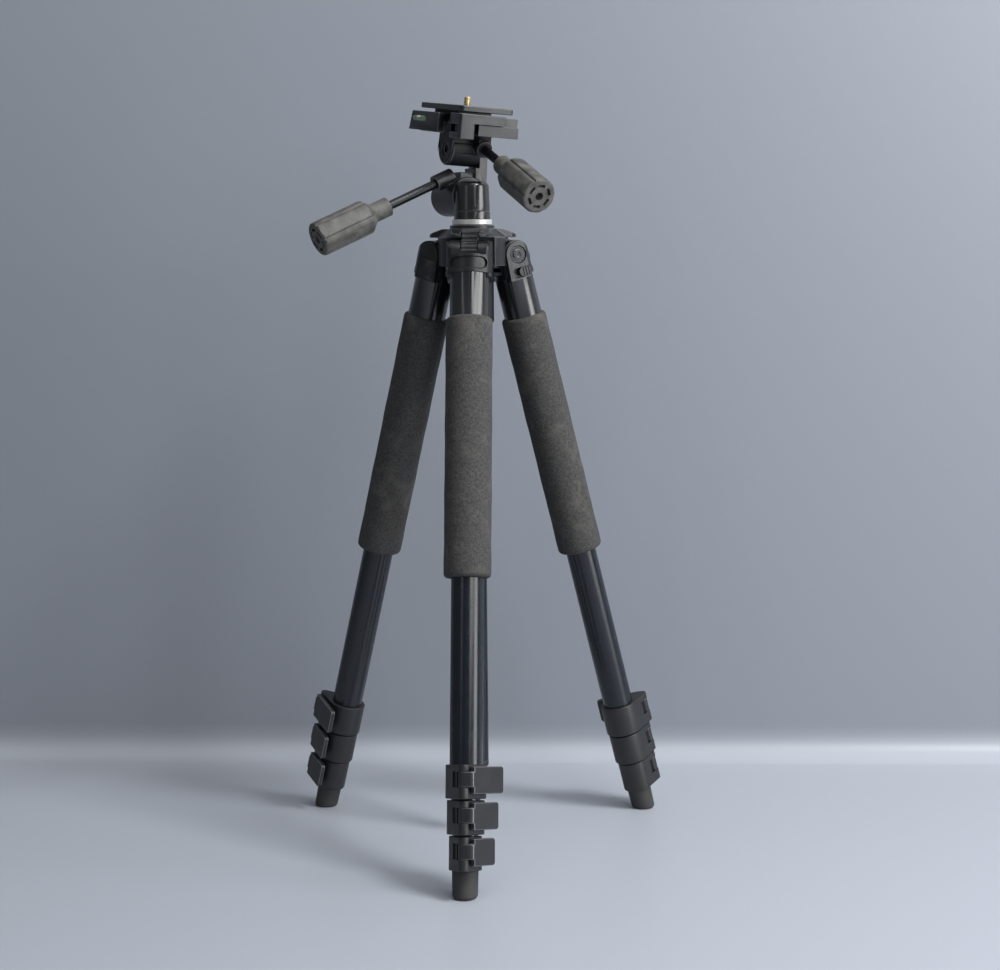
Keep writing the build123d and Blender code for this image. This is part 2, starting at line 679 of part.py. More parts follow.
# Pan ring and pan base with the trunnion that carries the lean body.
save(TURNED * rod(RING_RADIUS, RING_BOTTOM, RING_TOP), "pan_ring")
base = Pos(0, 0, (RING_TOP + BASE_TOP) / 2) * Cone(
    BASE_RADIUS, BASE_TOP_RADIUS, BASE_TOP - RING_TOP
)
base = fillet(base.edges().group_by(Axis.Z)[-1], BASE_ROUND)
groove = rod(BASE_RADIUS, BASE_GROOVE_HEIGHT, BASE_GROOVE_HEIGHT + BASE_GROOVE)
base -= groove - rod(
    BASE_RADIUS - BASE_GROOVE, BASE_GROOVE_HEIGHT, BASE_GROOVE_HEIGHT + BASE_GROOVE
)
base -= slab(
    DRUM_BACK, DRUM_FRONT + SIDE_GAP, -RING_RADIUS, RING_RADIUS, BASE_FLOOR, BASE_TOP
)
at_lean = Pos(0, 0, LEAN_HEIGHT)
base += at_lean * along(TRUNNION_RADIUS, TRUNNION_END, DRUM_FRONT + SIDE_GAP)
save(TURNED * base, "pan_base")

# Lean body: drum, neck at one side, ledge and the side handle's socket.
side_line = Pos(SIDE_HANDLE_X, SIDE_HANDLE_Y, SIDE_HANDLE_Z) * Rot(0, 0, -90)
side_line = side_line * Rot(0, SIDE_HANDLE_DROP, 0)
drum = along(DRUM_RADIUS, DRUM_BACK, DRUM_FRONT)
lean_body = at_lean * chamfer(drum.edges().group_by(Axis.X)[0], DRUM_EDGE)
lean_body += slab(
    LEDGE_BACK, LEDGE_FRONT, LEDGE_INNER, NECK_INNER, NECK_FOOT, LEDGE_TOP
)
lean_body += slab(NECK_BACK, NECK_FRONT, NECK_INNER, NECK_OUTER, NECK_FOOT, NECK_STEP)
lean_body += slab(
    NECK_BACK, NECK_FRONT, NECK_UPPER_INNER, NECK_OUTER, NECK_FOOT, NOD_HEIGHT
)
at_nod = Pos(NOD_X, 0, NOD_HEIGHT)
lean_body += at_nod * across(NECK_ROUND, NECK_UPPER_INNER, NECK_OUTER)
lean_body += side_line * along(SOCKET_RADIUS, SIDE_SOCKET_START, SIDE_SOCKET_END)
lean_body -= side_line * along(
    HANDLE_ROD_RADIUS + RUNNING_FIT, SIDE_ROD_START - SIDE_GAP, SIDE_SOCKET_END
)
lean_body -= at_lean * along(
    TRUNNION_RADIUS + RUNNING_FIT, TRUNNION_END - SIDE_GAP, DRUM_FRONT
)
lean_body -= at_nod * across(TILT_BOLT_RADIUS, NECK_UPPER_INNER, NECK_OUTER)
save(LEANED * lean_body, "lean_body")

# Tilt bolt, fixed in the neck.
tilt_bolt = across(TILT_BOLT_RADIUS, TILT_HEAD_OUTER, NECK_OUTER)
tilt_bolt += across(TILT_HEAD_RADIUS, TILT_HEAD_INNER, TILT_HEAD_OUTER)
hex_face = Plane.XZ.offset(-TILT_HEAD_INNER - TILT_HEX_DEPTH)
hex_hole = RegularPolygon(TILT_HEX / 2, 6, major_radius=False)
tilt_bolt -= extrude(hex_face * hex_hole, amount=TILT_HEX_DEPTH)
save(LEANED * at_nod * tilt_bolt, "tilt_bolt")

# Tilt platform: nod body, handle socket, deck, fixed jaw and wing in one casting.
at_plate = Pos(PLATE_X, PLATE_Y, PLATE_TOP)
tilt_root = Pos(NOD_X, TILT_HANDLE_Y, NOD_HEIGHT + TILT_HANDLE_RISE)
tilt_line = tilt_root * Rot(0, TILT_HANDLE_DROP, 0)
nod_outer = NECK_UPPER_INNER - SIDE_GAP
nod_body = across(NOD_RADIUS, NOD_INNER, nod_outer)
nod_body = chamfer(nod_body.edges().group_by(Axis.Y)[0], NOD_EDGE)
deck_bottom = PLATE_TOP + DECK_BOTTOM
platform = at_nod * nod_body
platform += slab(
    NOD_X - SADDLE_HALF, NOD_X + SADDLE_HALF, NOD_INNER, nod_outer, NOD_HEIGHT, deck_bottom
)
platform += tilt_line * along(SOCKET_RADIUS, TILT_SOCKET_START, TILT_SOCKET_END)
platform += slab(
    NOD_X + TILT_WEB_BACK,
    NOD_X + TILT_WEB_FRONT,
    TILT_HANDLE_Y - TILT_WEB_HALF,
    TILT_HANDLE_Y + TILT_WEB_HALF,
    NOD_HEIGHT + TILT_HANDLE_RISE - SOCKET_RADIUS / 2,
    deck_bottom,
)


def tail(gap):
    """The camera plate's dovetail along X, grown by a gap."""
    side = Polygon(
        (-TAIL_LOW_HALF - gap, TAIL_BOTTOM - gap),
        (TAIL_LOW_HALF + gap, TAIL_BOTTOM - gap),
        (TAIL_TOP_HALF + gap, 0),
        (-TAIL_TOP_HALF - gap, 0),
        align=None,
    )
    return side


deck = slab(DECK_BACK, DECK_FRONT, DECK_LEFT, DECK_RIGHT, DECK_BOTTOM, DECK_TOP)
deck += slab(JAW_BACK, JAW_FRONT, JAW_INNER, DECK_RIGHT, DECK_BOTTOM, JAW_TOP)
wing_side = Polygon(
    (WING_BACK, WING_BOTTOM),
    (WING_FRONT, WING_BOTTOM),
    (WING_FRONT, WING_TOP),
    (WING_BACK + WING_SLANT, WING_TOP),
    align=None,
)
wing = extrude(Plane.XZ.offset(-WING_INNER) * wing_side, amount=WING_INNER - WING_OUTER)
deck += wing
at_lever = Pos(LEVER_PIN_X, LEVER_PIN_Y, 0)
deck -= at_lever * rod(LEVER_SWING, DECK_BOTTOM, 0)
deck -= slab(
    LEVER_PIN_X, DECK_FRONT, DECK_LEFT, LEVER_PIN_Y, DECK_BOTTOM, DECK_TOP
)
lug_reach = LEVER_SWING + LUG_RADIUS
lug = rod(LUG_RADIUS, LUG_BOTTOM, LUG_TOP)
lug += Rot(0, 0, 135) * slab(0, lug_reach, -LUG_RADIUS, LUG_RADIUS, LUG_BOTTOM, LUG_TOP)
lug += rod(LEVER_PIN_RADIUS, LEVER_BOTTOM + LEVER_EDGE, LEVER_TOP - LEVER_EDGE)
deck += at_lever * lug
channel = extrude(Plane.YZ.offset(WING_BACK) * tail(TAIL_GAP), amount=PLATE_LENGTH + WING_SLANT)
deck -= channel
level_line = Pos(0, WING_OUTER + LEVEL_RADIUS - LEVEL_PROUD, LEVEL_DROP)
deck -= level_line * along(LEVEL_RADIUS, LEVEL_BACK, LEVEL_FRONT)
platform += at_plate * deck
platform -= at_nod * across(TILT_BOLT_RADIUS + RUNNING_FIT, NOD_INNER, nod_outer)
platform -= at_nod * across(
    TILT_HEAD_RADIUS + SLIDE_GAP, NOD_INNER, TILT_HEAD_OUTER + SIDE_GAP
)
platform -= tilt_line * along(
    HANDLE_ROD_RADIUS + RUNNING_FIT, TILT_ROD_START - SIDE_GAP, TILT_SOCKET_END
)
save(NODDED * platform, "tilt_platform")
save(
    NODDED * at_plate * level_line * along(LEVEL_RADIUS, LEVEL_BACK, LEVEL_FRONT),
    "bubble_level",
)

# Quick release lever: a corner block on the pin and an arm across the front.
release = slab(
    LEVER_BACK, LEVER_FRONT, LEVER_LEFT, LEVER_RIGHT, LEVER_BOTTOM, LEVER_TOP
)
release = fillet(release.edges().filter_by(Axis.Z), LEVER_EDGE)
release += slab(
    LEVER_ARM_BACK, LEVER_FRONT, LEVER_RIGHT - LEVER_EDGE, LEVER_ARM_END, LEVER_ARM_BOTTOM,
    LEVER_TOP,
)
lug_room = slab(
    -lug_reach, LUG_RADIUS, -lug_reach, lug_reach, LUG_BOTTOM - LUG_GAP, LUG_TOP + LUG_GAP
)
release -= at_lever * lug_room
release -= at_lever * rod(LEVER_PIN_RADIUS + RUNNING_FIT, LEVER_BOTTOM, LEVER_TOP)
save(NODDED * at_plate * release, "quick_release_lever")

# Camera plate with its dovetail, and the camera screw.
plate = slab(
    -PLATE_LENGTH / 2,
    PLATE_LENGTH / 2,
    -PLATE_WIDTH / 2,
    PLATE_WIDTH / 2,
    -PLATE_THICK,
    0,
)
plate = fillet(plate.edges().filter_by(Axis.Z), PLATE_CORNER)
foot_of_plate = extrude(Plane.YZ.offset(TAIL_BACK) * tail(0), amount=TAIL_FRONT - TAIL_BACK)
plate += foot_of_plate & slab(
    TAIL_BACK, TAIL_FRONT, -PLATE_WIDTH, PLATE_WIDTH, TAIL_BOTTOM, -PLATE_THICK
)
plate -= rod(SCREW_SHANK_RADIUS + RUNNING_FIT, TAIL_BOTTOM, 0)
plate -= rod(SCREW_RADIUS + SIDE_GAP, -SCREW_RELIEF, 0)
plate -= rod(SCREW_POCKET_RADIUS, TAIL_BOTTOM, SCREW_HEAD_TOP)
save(NODDED * at_plate * plate, "camera_plate")
screw = rod(SCREW_RADIUS, SCREW_RELIEF, SCREW_PROUD)
screw += rod(SCREW_SHANK_RADIUS, SCREW_HEAD_TOP, SCREW_RELIEF)
screw += rod(SCREW_HEAD_RADIUS, SCREW_HEAD_BOTTOM, SCREW_HEAD_TOP)
screw -= slab(
    -SCREW_HEAD_RADIUS,
    SCREW_HEAD_RADIUS,
    -SCREW_SLOT_WIDTH / 2,
    SCREW_SLOT_WIDTH / 2,
    SCREW_HEAD_BOTTOM,
    SCREW_HEAD_BOTTOM + SCREW_SLOT_DEPTH,
)
save(NODDED * at_plate * screw, "camera_screw")


def grip(start):
    """A fluted handle grip along X."""
    profile = Polyline(
        (0, 0),
        (0, GRIP_NECK_RADIUS),
        (GRIP_NECK, GRIP_NECK_RADIUS),
        (GRIP_NECK + GRIP_SHOULDER, GRIP_RADIUS),
        (GRIP_LENGTH, GRIP_RADIUS),
        (GRIP_LENGTH, 0),
        close=True,
    )
    shape = revolve(make_face(profile), axis=Axis.X)
    shape = fillet(shape.edges().group_by(Axis.X)[-1], GRIP_ROUND)
    flats = RegularPolygon(GRIP_FLAT, GRIP_FLUTES, major_radius=False)
    shape &= extrude(Plane.YZ * flats, amount=GRIP_LENGTH)
    for step in range(GRIP_FLUTES):
        turn = Rot(360 * step / GRIP_FLUTES, 0, 0)
        flute_line = Pos(0, GRIP_RADIUS + GRIP_FLUTE_RADIUS - GRIP_FLUTE_DEPTH, 0)
        shape -= turn * flute_line * along(GRIP_FLUTE_RADIUS, GRIP_NECK, GRIP_LENGTH)
        shape -= turn * slab(
            GRIP_LENGTH - GRIP_SLOT_DEPTH,
            GRIP_LENGTH,
            -GRIP_SLOT_LENGTH / 2,
            GRIP_SLOT_LENGTH / 2,
            GRIP_SLOT_RADIUS - GRIP_SLOT_WIDTH / 2,
            GRIP_SLOT_RADIUS + GRIP_SLOT_WIDTH / 2,
        )
    shape -= along(GRIP_BORE_RADIUS, GRIP_LENGTH - GRIP_BORE_DEPTH, GRIP_LENGTH)
    shape -= along(HANDLE_ROD_RADIUS, 0, ROD_IN_GRIP)
    return Pos(start, 0, 0) * shape


# Handles.
save(
    LEANED * side_line * along(HANDLE_ROD_RADIUS, SIDE_ROD_START, SIDE_GRIP_START + ROD_IN_GRIP),
    "side_handle_rod",
)
save(LEANED * side_line * grip(SIDE_GRIP_START), "side_handle_grip")
save(
    NODDED * tilt_line * along(HANDLE_ROD_RADIUS, TILT_ROD_START, TILT_GRIP_START + ROD_IN_GRIP),
    "tilt_handle_rod",
)
save(NODDED * tilt_line * grip(TILT_GRIP_START), "tilt_handle_grip")
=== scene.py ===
import json
from math import cos, pi, radians, sin

import bmesh
import bpy
import numpy as np
from mathutils import Matrix, Vector


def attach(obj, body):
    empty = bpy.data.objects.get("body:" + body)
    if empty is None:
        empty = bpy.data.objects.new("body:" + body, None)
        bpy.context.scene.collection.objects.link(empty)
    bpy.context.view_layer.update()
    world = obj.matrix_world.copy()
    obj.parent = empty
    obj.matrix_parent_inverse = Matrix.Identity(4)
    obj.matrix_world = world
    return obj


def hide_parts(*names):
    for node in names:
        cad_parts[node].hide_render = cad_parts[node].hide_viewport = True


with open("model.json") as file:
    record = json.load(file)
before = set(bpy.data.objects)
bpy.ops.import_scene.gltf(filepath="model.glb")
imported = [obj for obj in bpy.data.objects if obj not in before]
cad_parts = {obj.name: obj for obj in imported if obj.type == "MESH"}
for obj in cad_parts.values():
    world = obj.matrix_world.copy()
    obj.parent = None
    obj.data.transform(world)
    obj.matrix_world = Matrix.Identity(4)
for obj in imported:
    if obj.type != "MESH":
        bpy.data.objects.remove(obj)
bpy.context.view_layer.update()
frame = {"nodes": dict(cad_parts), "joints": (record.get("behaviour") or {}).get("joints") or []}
joints = {joint["name"]: joint for joint in frame["joints"]}
LEGS = ("front", "right", "left")


# Leg tubes and the centre column: drawn aluminium tube, black anodised and sealed. The die
# leaves faint lines along the tube, and the sealed skin is glossy, so that windows show in
# it as long streaks.
def linear(colour):
    """An sRGB hex value as linear red, green, blue and alpha."""
    parts = np.array([int(colour[place:place + 2], 16) for place in (1, 3, 5)]) / 255
    curve = np.where(parts <= 0.04045, parts / 12.92, ((parts + 0.055) / 1.055) ** 2.4)
    return (*curve.tolist(), 1.0)


def add(tree, kind, settings, links):
    """Adds one shader node, sets its properties, sets sockets by name or number, and links."""
    made = tree.nodes.new(kind)
    for name, value in settings.items():
        if isinstance(name, int) or name in made.inputs:
            made.inputs[name].default_value = value
        else:
            setattr(made, name, value)
    for socket, source in links.items():
        tree.links.new(source, made.inputs[socket])
    return made


def blank(name, **sockets):
    """A new material, its node tree and its shader with the given sockets set."""
    material = bpy.data.materials.new(name)
    material.use_nodes = True
    shader = material.node_tree.nodes["Principled BSDF"]
    for socket, value in sockets.items():
        shader.inputs[socket.replace("_", " ")].default_value = value
    return material, material.node_tree, shader


def per_mm(size):
    """The texture scale at which one pattern step is this many millimetres."""
    return 1000 / size


def leg_axes(leg):
    """A leg's pivot point and its outward, sideways and downward directions."""
    spread = joints[f"{leg}_leg_spread"]
    side = -np.array(spread["axis"])
    down = np.array(joints[f"{leg}_second_section_slide"]["axis"])
    return np.array(spread["pos_m"]), np.cross(down, side), side, down


def paint(names, material):
    """Gives CAD nodes a material."""
    for name in names:
        node = frame["nodes"][name]
        node.data.materials.clear()
        node.data.materials.append(material)


TUBE_BLACK = "#090d14"
TUBE_SHEEN = "#121922"
DIE_LINE = 1.1
DIE_STRETCH = 30
RUB_SIZE = 16


def drawn_tube(name, along):
    """Black anodised tube with die lines that run along a direction."""
    material, tree, shader = blank(name, IOR=1.52)
    place = add(tree, "ShaderNodeTexCoord", {}, {})
    drawn = add(
        tree,
        "ShaderNodeMapping",
        {
            "vector_type": "TEXTURE",
            "Rotation": Vector(along).to_track_quat("Z", "Y").to_euler(),
            "Scale": (1, 1, DIE_STRETCH),
        },
        {"Vector": place.outputs["Object"]},
    )
    lines = add(
        tree,
        "ShaderNodeTexNoise",
        {"Scale": per_mm(DIE_LINE), "Detail": 3},
        {"Vector": drawn.outputs[0]},
    )
    rubbed = add(
        tree,
        "ShaderNodeTexNoise",
        {"Scale": per_mm(RUB_SIZE), "Detail": 4, "Roughness": 0.6},
        {"Vector": place.outputs["Object"]},
    )
    both = add(
        tree,
        "ShaderNodeMath",
        {"operation": "MULTIPLY"},
        {0: lines.outputs["Fac"], 1: rubbed.outputs["Fac"]},
    )
    tint = add(
        tree,
        "ShaderNodeMix",
        {"data_type": "RGBA", 6: linear(TUBE_BLACK), 7: linear(TUBE_SHEEN)},
        {0: lines.outputs["Fac"]},
    )
    tree.links.new(tint.outputs[2], shader.inputs["Base Color"])
    polish = add(
        tree,
        "ShaderNodeMapRange",
        {"From Min": 0.1, "From Max": 0.4, "To Min": 0.17, "To Max": 0.3},
        {"Value": both.outputs[0]},
    )
    tree.links.new(polish.outputs[0], shader.inputs["Roughness"])
    bump = add(
        tree,
        "ShaderNodeBump",
        {"Strength": 0.05, "Distance": 0.0001},
        {"Height": lines.outputs["Fac"]},
    )
    tree.links.new(bump.outputs[0], shader.inputs["Normal"])
    return material


TUBES = ("upper_tube", "second_tube", "third_tube", "bottom_tube")
for leg in LEGS:
    finish = drawn_tube(f"anodised_{leg}_tubes", leg_axes(leg)[3])
    paint([f"{leg}_{tube}" for tube in TUBES], finish)
paint(["centre_column"], drawn_tube("anodised_column", (0, 0, -1)))


# Hub, lean body, release lever and camera plate: die-cast aluminium under satin black powder
# coat. The powder flows to a fine orange peel. The die's rounded edges are drawn much lighter,
# partly as rubbed wear and partly as a painted highlight.
PATCH_RATIO = 9
FINE_SHARE = 0.6


def coated(name, dark, light, grain, relief, smooth, dull, **sockets):
    """A finish whose noise, at a grain size in mm, drives colour, roughness and relief."""
    material, tree, shader = blank(name, **sockets)
    place = add(tree, "ShaderNodeTexCoord", {}, {})
    fine = add(
        tree,
        "ShaderNodeTexNoise",
        {"Scale": per_mm(grain), "Detail": 5, "Roughness": 0.65},
        {"Vector": place.outputs["Object"]},
    )
    patches = add(
        tree,
        "ShaderNodeTexNoise",
        {"Scale": per_mm(PATCH_RATIO * grain), "Detail": 3},
        {"Vector": place.outputs["Object"]},
    )
    both = add(
        tree,
        "ShaderNodeMath",
        {"operation": "MULTIPLY_ADD", 1: FINE_SHARE},
        {0: fine.outputs["Fac"], 2: patches.outputs["Fac"]},
    )
    mix = add(
        tree,
        "ShaderNodeMapRange",
        {"From Min": 0.55, "From Max": 1.05},
        {"Value": both.outputs[0]},
    )
    tint = add(
        tree,
        "ShaderNodeMix",
        {"data_type": "RGBA", 6: linear(dark), 7: linear(light)},
        {0: mix.outputs[0]},
    )
    tree.links.new(tint.outputs[2], shader.inputs["Base Color"])
    polish = add(
        tree,
        "ShaderNodeMapRange",
        {"To Min": smooth, "To Max": dull},
        {"Value": mix.outputs[0]},
    )
    tree.links.new(polish.outputs[0], shader.inputs["Roughness"])
    bump = add(
        tree,
        "ShaderNodeBump",
        {"Strength": 0.3, "Distance": relief / 1000},
        {"Height": fine.outputs["Fac"]},
    )
    tree.links.new(bump.outputs[0], shader.inputs["Normal"])
    return material


MERGE = 2e-6
FLAT = radians(0.4)
SHARP = radians(38)
PINCH = radians(40)


def pinched(line):
    """Whether another sharp edge leaves an end of this one in nearly the same direction."""
    for end in line.verts:
        way = line.other_vert(end).co - end.co
        for other in end.link_edges:
            if other != line and other.calc_face_angle(0) > SHARP:
                if way.angle(other.other_vert(end).co - end.co) < PINCH:
                    return True
    return False


def soften(name, body, material, edge_finish, width, clamped=True, divided=False):
    """Copies a CAD node, merges its triangles, and rounds its sharp edges in a second edge
    finish, which on some pieces carries a painted highlight.

    Clamped, every sharp edge is rounded, as wide as the smallest face allows. Unclamped, all
    but the pinched edges get the full width. Divided cuts faces of many corners first.
    """
    mesh = frame["nodes"][name].data.copy()
    work = bmesh.new()
    work.from_mesh(mesh)
    bmesh.ops.remove_doubles(work, verts=work.verts, dist=MERGE)
    bmesh.ops.dissolve_limit(work, angle_limit=FLAT, verts=work.verts, edges=work.edges)
    if divided:
        many_cornered = [face for face in work.faces if len(face.verts) > 4]
        bmesh.ops.triangulate(work, faces=many_cornered)
    rounded = work.edges.layers.float.new("bevel_weight_edge")
    for line in work.edges:
        line[rounded] = float(line.calc_face_angle(0) > SHARP and not pinched(line))
    work.to_mesh(mesh)
    work.free()
    mesh.shade_smooth()
    mesh.set_sharp_from_angle(angle=SHARP)
    mesh.materials.clear()
    mesh.materials.append(material)
    mesh.materials.append(edge_finish)
    piece = bpy.data.objects.new(f"soft_{name}", mesh)
    bpy.context.collection.objects.link(piece)
    edge = piece.modifiers.new("edge", "BEVEL")
    edge.width = width
    edge.segments = 2
    edge.limit_method = "ANGLE" if clamped else "WEIGHT"
    edge.angle_limit = SHARP
    edge.harden_normals = True
    edge.use_clamp_overlap = clamped
    edge.material = 1
    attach(piece, body)
    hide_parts(name)
    return piece


CAST_BLACK = "#151618"
CAST_LIGHT = "#1f2022"
# Edge colours, far lighter than the satin: partly rubbed wear, partly a painted highlight along
# the edges.
CAST_WORN_HIGHLIT = "#3c3d3f"
CAST_RUBBED_HIGHLIT = "#4c4d4f"
CAST_PEEL = 1.6
CAST_EDGE = 0.0008
satin_casting = coated(
    "satin_casting",
    CAST_BLACK,
    CAST_LIGHT,
    grain=CAST_PEEL,
    relief=0.1,
    smooth=0.3,
    dull=0.42,
    IOR=1.52,
)
worn_highlit_casting = coated(
    "worn_highlit_casting",
    CAST_WORN_HIGHLIT,
    CAST_RUBBED_HIGHLIT,
    grain=CAST_PEEL,
    relief=0.1,
    smooth=0.26,
    dull=0.4,
    IOR=1.5,
)
soften("hub", "hub", satin_casting, worn_highlit_casting, CAST_EDGE, clamped=False)
soften("lean_body", "lean", satin_casting, worn_highlit_casting, CAST_EDGE, clamped=False)
soften(
    "quick_release_lever", "release_lever", satin_casting, worn_highlit_casting, CAST_EDGE, clamped=False
)
soften("camera_plate", "plate", satin_casting, worn_highlit_casting, CAST_EDGE, clamped=False)

# Pan base and leg tops: the same castings. The pan base and the sleeves below the leg tops'
# bands are turned smooth and sprayed in gloss black, which shows the windows as sharp streaks.
GLOSS_BLACK = "#0f1012"
GLOSS_LIGHT = "#17181a"
GLOSS_FLOW = 9
BAND_BOTTOM = 0.0192
PAN_EDGE = 0.0003
LEG_TOP_EDGE = 0.001
gloss_black = coated(
    "gloss_black",
    GLOSS_BLACK,
    GLOSS_LIGHT,
    grain=GLOSS_FLOW,
    relief=0.004,
    smooth=0.22,
    dull=0.27,
    IOR=1.75,
)
soften("pan_base", "pan", gloss_black, worn_highlit_casting, PAN_EDGE, clamped=False)


def middles_of(piece):
    """The middle point of each face, one row each."""
    middles = np.empty(3 * len(piece.data.polygons))
    piece.data.polygons.foreach_get("center", middles)
    return middles.reshape(-1, 3)


def refinish(piece, material, chosen):
    """Gives the chosen faces of a softened piece another finish."""
    piece.data.materials.append(material)
    piece.data.polygons.foreach_set("material_index", 2 * chosen.astype(np.int32))


for leg in LEGS:
    leg_top = soften(f"{leg}_leg_top", f"{leg}_leg", satin_casting, worn_highlit_casting, LEG_TOP_EDGE)
    pivot, _, _, down = leg_axes(leg)
    refinish(leg_top, gloss_black, (middles_of(leg_top) - pivot) @ down > BAND_BOTTOM)

# Tilt platform: one casting, satin on the deck under the plate and matt on the knuckle below it.
# The knuckle's matt black is drawn darker than the satin, as painted shade under the deck.
MATT_SHADE_BLACK = "#0e0f10"
MATT_SHADE_LIGHT = "#17181a"
DECK_BOTTOM = -0.0256
DECK_EDGE = 0.0006
# Darker base colours than the satin: painted shade on the knuckle under the deck.
shaded_matt_black = coated(
    "shaded_matt_black",
    MATT_SHADE_BLACK,
    MATT_SHADE_LIGHT,
    grain=CAST_PEEL,
    relief=0.2,
    smooth=0.5,
    dull=0.62,
    IOR=1.45,
)
platform = soften(
    "tilt_platform",
    "platform",
    satin_casting,
    worn_highlit_casting,
    DECK_EDGE,
    clamped=False,
    divided=True,
)
screw_foot = np.array(joints["camera_screw_spin"]["pos_m"])
upward = np.array(joints["camera_screw_spin"]["axis"])
# Faces below the deck take the darker matt finish, which is painted shade.
refinish(platform, shaded_matt_black, (middles_of(platform) - screw_foot) @ upward < DECK_BOTTOM)

# Leg lock collars and levers, angle lock buttons, the column's end cap and knob: glass-filled
# nylon moulded in a spark-eroded tool, which gives a fine dull grain. Along the edges the nylon
# is drawn lighter and glossier, partly as handling polish and partly as a painted highlight.
NYLON_DARK = "#17181b"
NYLON_LIGHT = "#202124"
# Edge colours, far lighter than the body: partly handling wear, partly a painted highlight along
# the edges.
NYLON_WORN_HIGHLIT = "#46474a"
NYLON_RUBBED_HIGHLIT = "#58595c"
NYLON_GRAIN = 1.2
NYLON_EDGE = 0.001
BUTTON_EDGE = 0.0003
moulded_nylon = coated(
    "moulded_nylon",
    NYLON_DARK,
    NYLON_LIGHT,
    grain=NYLON_GRAIN,
    relief=0.2,
    smooth=0.38,
    dull=0.54,
    IOR=1.53,
)
worn_highlit_nylon = coated(
    "worn_highlit_nylon",
    NYLON_WORN_HIGHLIT,
    NYLON_RUBBED_HIGHLIT,
    grain=NYLON_GRAIN,
    relief=0.05,
    smooth=0.16,
    dull=0.24,
    IOR=1.65,
)
SECTIONS = {"upper": "leg", "middle": "second_section", "lower": "third_section"}
for leg in LEGS:
    for lock, section in SECTIONS.items():
        soften(f"{leg}_{lock}_lock", f"{leg}_{section}", moulded_nylon, worn_highlit_nylon, NYLON_EDGE)
        lever = f"{leg}_{lock}_lever"
        soften(lever, lever, moulded_nylon, worn_highlit_nylon, NYLON_EDGE)
    button = f"{leg}_angle_button"
    soften(button, button, moulded_nylon, worn_highlit_nylon, BUTTON_EDGE)
soften("column_end_cap", "column", moulded_nylon, worn_highlit_nylon, BUTTON_EDGE)
soften("column_lock_knob", "column_knob", moulded_nylon, worn_highlit_nylon, NYLON_EDGE)


# Foam grips: thick tubes of closed-cell foam rolled over the upper leg tubes. The skinned
# surface shows small open cells and paler scuffs, and the cut ends are rounded by heat.
SAME_POINT = 1e-7


def surface(name, points, material, body, closed):
    """A mesh over a grid of points, joined round each ring, and end to end if closed."""
    rings, sides, _ = points.shape
    index = np.arange(rings * sides).reshape(rings, sides)
    across = np.roll(index, -1, axis=1)
    faces = np.stack(
        [index, across, np.roll(across, -1, axis=0), np.roll(index, -1, axis=0)], axis=-1
    )
    faces = faces if closed else faces[:-1]
    mesh = bpy.data.meshes.new(name)
    mesh.from_pydata(points.reshape(-1, 3).tolist(), [], faces.reshape(-1, 4).tolist())
    work = bmesh.new()
    work.from_mesh(mesh)
    bmesh.ops.remove_doubles(work, verts=work.verts, dist=SAME_POINT)
    bmesh.ops.recalc_face_normals(work, faces=work.faces)
    work.to_mesh(mesh)
    work.free()
    mesh.shade_smooth()
    mesh.materials.append(material)
    piece = bpy.data.objects.new(name, mesh)
    bpy.context.collection.objects.link(piece)
    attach(piece, body)
    return piece


def turned(profile, sides, start, out, side, down):
    """A profile of distances down and radii, turned about a line: start + down d + radius r."""
    angle = np.linspace(0, 2 * pi, sides, endpoint=False)
    spoke = np.cos(angle)[:, None] * out + np.sin(angle)[:, None] * side
    return start + profile[:, 0, None, None] * down + profile[:, 1, None, None] * spoke


FOAM_DARK = "#2c2c2b"
FOAM_GREY = "#4e4d4c"
FOAM_SCUFF = "#5b5955"
# Real cells are about half a millimetre; they are drawn at 1.8 mm so that they show.
CELL = 1.8
SCUFF_SIZE = 26
PIT_SHARE = 0.5
closed_cell_foam, tree, shader = blank("closed_cell_foam", Roughness=0.88, IOR=1.4)
place = add(tree, "ShaderNodeTexCoord", {}, {})
cells = add(
    tree,
    "ShaderNodeTexNoise",
    {"Scale": per_mm(CELL), "Detail": 6, "Roughness": 0.8},
    {"Vector": place.outputs["Object"]},
)
pits = add(
    tree,
    "ShaderNodeTexVoronoi",
    {"Scale": per_mm(2 * CELL)},
    {"Vector": place.outputs["Object"]},
)
scuffs = add(
    tree,
    "ShaderNodeTexNoise",
    {"Scale": per_mm(SCUFF_SIZE), "Detail": 5, "Roughness": 0.7, "Distortion": 0.6},
    {"Vector": place.outputs["Object"]},
)
grey = add(
    tree,
    "ShaderNodeMapRange",
    {"From Min": 0.38, "From Max": 0.64},
    {"Value": cells.outputs["Fac"]},
)
tint = add(
    tree,
    "ShaderNodeMix",
    {"data_type": "RGBA", 6: linear(FOAM_DARK), 7: linear(FOAM_GREY)},
    {0: grey.outputs[0]},
)
scuffed = add(
    tree,
    "ShaderNodeMapRange",
    {"From Min": 0.52, "From Max": 0.8},
    {"Value": scuffs.outputs["Fac"]},
)
shade = add(
    tree,
    "ShaderNodeMix",
    {"data_type": "RGBA", 7: linear(FOAM_SCUFF)},
    {0: scuffed.outputs[0], 6: tint.outputs[2]},
)
tree.links.new(shade.outputs[2], shader.inputs["Base Color"])
relief = add(
    tree,
    "ShaderNodeMath",
    {"operation": "MULTIPLY_ADD", 1: PIT_SHARE},
    {0: pits.outputs["Distance"], 2: cells.outputs["Fac"]},
)
bump = add(
    tree,
    "ShaderNodeBump",
    {"Strength": 0.55, "Distance": 0.0004},
    {"Height": relief.outputs[0]},
)
tree.links.new(bump.outputs[0], shader.inputs["Normal"])

FOAM_TOP = 0.057
FOAM_BOTTOM = 0.285
FOAM_RADIUS = 0.0205
FOAM_BORE = 0.0141
FOAM_LIP = 0.0032
FOAM_SIDES = 96
LIP_STEPS = 9
RUN_STEPS = 60
BORE_STEPS = 8
RUN_INSET = 0.006
